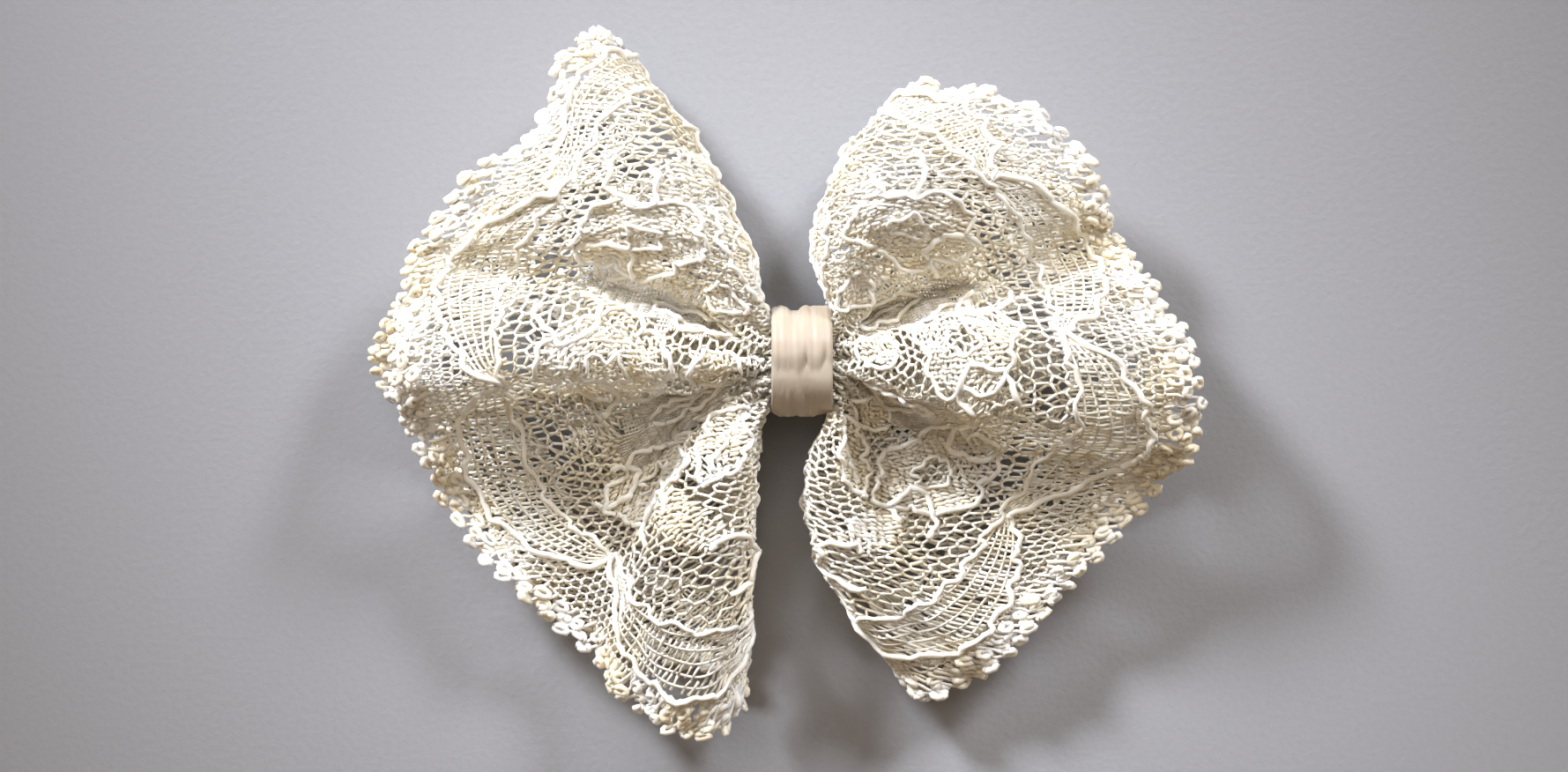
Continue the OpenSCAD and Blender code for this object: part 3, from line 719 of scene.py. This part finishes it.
# Where the sheer patches lie on the left and the right wing: share of the width, distance from the waist,
# and half sizes
FRONT_VEILS = ([(0.63, 12, 4.6, 6.5), (0.34, 11, 2.2, 8)], [(0.37, 13, 3, 8), (0.63, 13, 3.4, 7)])
BACK_VEILS = ([(0.3, 15, 4, 6)], [(0.55, 15, 4, 6)])
lace_layer("front", FRONT_RIBS, 1, 11, (0.225, 0.22), FRONT_VEILS)
lace_layer("back", BACK_RIBS, -1, 47, (0.6, 0.72), BACK_VEILS)

# ---------------------------------------------------------------- satin wrap


def smooth(t):
    t = np.clip(t, 0, 1)
    return t * t * (3 - 2 * t)


def satin_wrap():
    """A satin ribbon folded in half along its length, wound round the waist and creased along it."""
    around, across = 150, 44
    cloth, gap = 0.11, 0.05
    width = wrap_high[0] - wrap_low[0]
    points = []
    for i in range(around):
        turn = TURN * i / around
        c, s = math.cos(turn), math.sin(turn)
        top = max(0.0, s)
        w = np.linspace(0, 1, across)
        x = wrap_low[0] + cloth / 2 + (width - cloth) * w
        fine = (0.045 * np.sin(TURN * 2.3 * w + 1.6 * s + c) + 0.03 * np.sin(TURN * 5.3 * w + 2.4 * c)
                + 0.02 * np.sin(TURN * 9.1 * w - 3 * s))
        notch = 0.62 * max(0.0, c) ** 2 * np.exp(-((x + 0.6) / 0.5) ** 2)
        groove = 0.3 * top * (1 - smooth((c + 0.05) / 0.3)) * (np.exp(-((x - 0.37) / 0.25) ** 2)
                                                                + np.exp(-((x - 1.9) / 0.3) ** 2))
        drawn_in = 0.95 * smooth((x - 0.3) / 2.4) * smooth(-c) * smooth(1.4 * top + 0.3)
        lower = 0.42 * smooth((0.12 - c) / 0.35) * top
        edge = 0.3 * (2 * w - 1) ** 6
        outer = WRAP_R + 0.2 + fine - notch - groove - drawn_in - lower - edge
        outer = np.maximum(outer, THREAD_R + 1.5 * cloth + gap + 0.04 * np.sin(TURN * 2 * w + 3 * s))
        inner = outer - cloth - gap
        half = across // 2
        line_x = np.concatenate([x[half - 1::-1] + 0.04, x, x[:half - 1:-1] - 0.04])
        line_r = np.concatenate([inner[half - 1::-1], outer, inner[:half - 1:-1]])
        line = np.stack([line_x, line_r], axis=-1)
        along = unit(np.gradient(line, axis=0))
        normal = np.stack([-along[:, 1], along[:, 0]], axis=-1)
        ring = np.concatenate([line + normal * cloth / 2, (line - normal * cloth / 2)[::-1]])
        shift = WRAP_SIDE * np.sign(c) * min(1, abs(4 * c))
        for x_r, r in ring:
            points.append((x_r, shift + r * c, WAIST_Z + r * s))
    row = len(points) // around
    i, j = np.meshgrid(np.arange(around), np.arange(row), indexing="ij")
    k, m = (i + 1) % around, (j + 1) % row
    quads = np.stack([i * row + j, i * row + m, k * row + m, k * row + j], axis=-1).reshape(-1, 4)
    piece = new_piece("satin_wrap", points, quads, satin_cloth)
    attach(piece, "bow")
    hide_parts("centre_wrap")


satin_wrap()

# ---------------------------------------------------------------- backing


def slab(name, x, y, low, high, material):
    """A thin closed piece: grids x and y of its outline, with the heights of its underside and its top."""
    rows, columns = x.shape
    points = np.concatenate([np.stack([x, y, z], axis=-1).reshape(-1, 3) for z in (low, high)])
    index = np.arange(rows * columns).reshape(rows, columns)
    upper = index + rows * columns
    faces = [np.stack([upper[:-1, :-1], upper[1:, :-1], upper[1:, 1:], upper[:-1, 1:]], axis=-1),
             np.stack([index[:-1, :-1], index[:-1, 1:], index[1:, 1:], index[1:, :-1]], axis=-1)]
    rim = np.concatenate([index[:, 0], index[-1, 1:], index[-2::-1, -1], index[0, -2::-1]])
    above = rim + rows * columns
    faces.append(np.stack([rim[:-1], rim[1:], above[1:], above[:-1]], axis=-1))
    return new_piece(name, points, np.concatenate([f.reshape(-1, 4) for f in faces]), material)


def clip_liner():
    """Grosgrain ribbon laid along the clip: ribs across it, a beaded selvedge and two sealed ends."""
    low, high = box_mm("clip_ribbon")
    rib, samples, across = 0.5, 8, 25
    columns = int((high[0] - low[0]) / rib) * samples
    x = np.linspace(low[0], high[0], columns + 1)[:, None]
    w = np.linspace(-1, 1, across)[None, :]
    swell = np.abs(np.sin(math.pi * (x - low[0]) / rib))
    half = (high[1] - low[1]) / 2 - 0.09 * (1 - swell)
    selvedge = 0.03 * np.exp(-((np.abs(w) - 0.94) / 0.03) ** 2)
    sealed = 0.03 * np.exp(-((np.abs(x) - high[0]) / 0.25) ** 2)
    thread = 0.008 * np.cos(TURN * 15 * w)
    top = high[2] - 0.085 + 0.045 * swell + thread + selvedge + sealed
    under = low[2] + 0.05 - 0.035 * swell + 0 * w
    grid = 0 * (x + w)
    piece = slab("clip_liner", x + grid, half * w, under + grid, np.minimum(top, high[2]) + grid, ribbon_cloth)
    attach(piece, "bow")
    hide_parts("clip_ribbon")
    return piece


def felt_base():
    """Cut felt under the bow, with round ends, soft edges and loose fibres round its rim."""
    low, high = box_mm("felt_pad")
    rng = np.random.default_rng(5)
    long, wide = high[0] - low[0], high[1] - low[1]
    angle = np.linspace(0.04, math.pi - 0.04, 150)[:, None]
    reach = -np.cos(angle)
    x = reach * long / 2
    past = np.maximum(0, np.abs(x) - (long - wide) / 2)
    half = np.sqrt(np.maximum((wide / 2) ** 2 - past ** 2, 0.01))
    w = np.sin(np.linspace(-math.pi / 2, math.pi / 2, 70))[None, :]
    y = half * w
    lump = 0.5 + 0.25 * np.sin(2.1 * x + 1.7 * y) + 0.25 * np.sin(4.3 * y - 3.1 * x + 2 * np.sin(1.3 * x))
    pile = rng.uniform(0, 0.035, y.shape)
    soft = 0.14 * np.maximum(np.abs(w), np.abs(reach)) ** 10
    piece = slab("felt_base", x + 0 * w, y, low[2] + 0.02 + soft + pile, high[2] - 0.02 - soft - 0.05 * lump - pile,
                 felt_cloth)
    count, rings = 420, 7
    round_it = rng.uniform(0, TURN, (count, 1))
    t = np.linspace(0, 1, rings)[None, :]
    out = 0.35 * np.sin(math.pi * t) * rng.uniform(0.3, 1, (count, 1)) - 0.1
    turn = round_it + rng.uniform(-0.16, 0.16, (count, 1)) * t
    side = np.sign(np.cos(turn)) * (long - wide) / 2
    place = np.stack([side + (wide / 2 + out) * np.cos(turn), (wide / 2 + out) * np.sin(turn),
                      rng.uniform(low[2] + 0.15, high[2] - 0.15, (count, 1)) + 0.08 * np.sin(TURN * t)], axis=-1)
    fibres, quads = sweep(place, np.array([0.0, 0.0, 1.0]), 0.018, 4)
    fuzz = new_piece("felt_fibres", fibres, quads, felt_cloth)
    for obj in (piece, fuzz):
        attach(obj, "bow")
        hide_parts("felt_pad")


def torsion_spring():
    """Wire spring wound round the pin. One leg presses on the upper arm and the other follows the jaw."""
    low, high = box_mm("clip_spring")
    pin_low, pin_high = box_mm("hinge_pin")
    hinge_x, hinge_z = (pin_low[0] + pin_high[0]) / 2, (pin_low[2] + pin_high[2]) / 2
    wire_d, coil_r, turns, steps = 0.35, 0.95, 4.5, 64
    half = turns * (wire_d + 0.12) / 2
    grown = np.linspace(0, 1, int(turns * steps) + 1)
    angle = TURN * (0.25 + turns * grown)
    coil = np.stack([hinge_x + coil_r * np.cos(angle), half * (2 * grown - 1),
                     hinge_z + coil_r * np.sin(angle)], axis=-1)
    upper = np.linspace([high[0], -half, high[2] - wire_d / 2], [hinge_x + 3.3, -half, hinge_z + 1.1], 24)
    bend = np.linspace(upper[-1], coil[0], 16)[1:-1]
    lower = np.linspace(coil[-1], [high[0], half, low[2] + wire_d / 2], 40)[1:]
    line = np.concatenate([upper, bend, coil, lower])
    points, quads = sweep(line[None], np.array([0.0, 1.0, 0.001]), wire_d / 2, 8)
    piece = new_piece("torsion_spring", points, quads, nickel)
    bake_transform(piece)
    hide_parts("clip_spring")


def box_mm(name):
    """Lowest and highest corner of a CAD node, in millimetres."""
    return [np.array(corner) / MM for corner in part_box(name)]


clip_liner()
felt_base()
torsion_spring()


def finish_cad(name, material):
    obj = bpy.data.objects[name]
    for k in range(max(1, len(obj.material_slots))):
        if k < len(obj.material_slots):
            obj.material_slots[k].material = material
        else:
            obj.data.materials.append(material)


finish_cad("gathering_thread", thread_yarn)
finish_cad("wrap_stitches", thread_yarn)
finish_cad("glue_bed", hot_melt())
for part in ("clip_upper_arm", "clip_lower_arm", "hinge_pin"):
    finish_cad(part, nickel)

# ---------------------------------------------------------------- paper, light and camera


def paper_floor():
    mesh = bpy.data.meshes.new("paper")
    half = 1.5
    mesh.from_pydata([(-half, -half, 0), (half, -half, 0), (half, half, 0), (-half, half, 0)], [], [(0, 1, 2, 3)])
    floor = bpy.data.objects.new("paper", mesh)
    bpy.context.scene.collection.objects.link(floor)
    mat, tree, shader = nodes_of("paper")
    grain = noise(tree, 1800, 4)
    pale = tuple(1.04 * c for c in PAPER[:3]) + (1,)
    tree.links.new(ramp(tree, grain, [(0.3, PAPER), (0.7, pale)]), shader.inputs["Base Color"])
    bump(tree, shader, grain, 0.0001, 0.5)
    shader.inputs["Roughness"].default_value = 0.9
    mesh.materials.append(mat)


def lamp(name, azimuth, elevation, distance, radius, cone, share, colour):
    """Soft spot light aimed at the bow, fading towards its cone's edge. share is its part of the paper's light."""
    azimuth, elevation = math.radians(azimuth), math.radians(elevation)
    place = distance * Vector((math.cos(elevation) * math.cos(azimuth), math.cos(elevation) * math.sin(azimuth),
                               math.sin(elevation)))
    data = bpy.data.lights.new(name, "SPOT")
    data.shadow_soft_size = radius
    data.spot_size = math.radians(cone)
    data.spot_blend = 1
    data.energy = share * (TURN * distance) ** 2 / math.sin(elevation)
    data.color = colour
    obj = bpy.data.objects.new(name, data)
    obj.location = place
    obj.rotation_euler = (-place).to_track_quat("-Z", "Y").to_euler()
    bpy.context.scene.collection.objects.link(obj)


paper_floor()
lamp("window_left", 131, 32, 0.45, 0.05, 22, 0.95, (0.96, 1, 1.07))
lamp("window_right", 54, 34, 0.45, 0.06, 22, 0.56, (0.97, 1, 1.06))

room = bpy.data.lights.new("room_light", "SUN")
room.angle = math.radians(40)
room.energy = 0.24 * math.pi
room.color = (1, 0.98, 0.95)
room_obj = bpy.data.objects.new("room_light", room)
room_obj.rotation_euler = (math.radians(-24), math.radians(-8), 0)
bpy.context.scene.collection.objects.link(room_obj)

world = bpy.data.worlds.new("room")
world.use_nodes = True
world.node_tree.nodes["Background"].inputs["Color"].default_value = (1.0, 0.68, 0.4, 1)
world.node_tree.nodes["Background"].inputs["Strength"].default_value = 0.2
bpy.context.scene.world = world

PICTURE_W = 130.8 * MM     # width of the picture at the height of the lace
CAMERA_Z = 0.30
LACE_Z = 0.010
camera_data = bpy.data.cameras.new("camera")
camera_data.sensor_width = 36
camera_data.lens = 36 * (CAMERA_Z - LACE_Z) / PICTURE_W
camera = bpy.data.objects.new("camera", camera_data)
camera.location = (-1.5 * MM, -2.1 * MM, CAMERA_Z)
bpy.context.scene.collection.objects.link(camera)
bpy.context.scene.camera = camera
bpy.context.scene.view_settings.view_transform = "Standard"
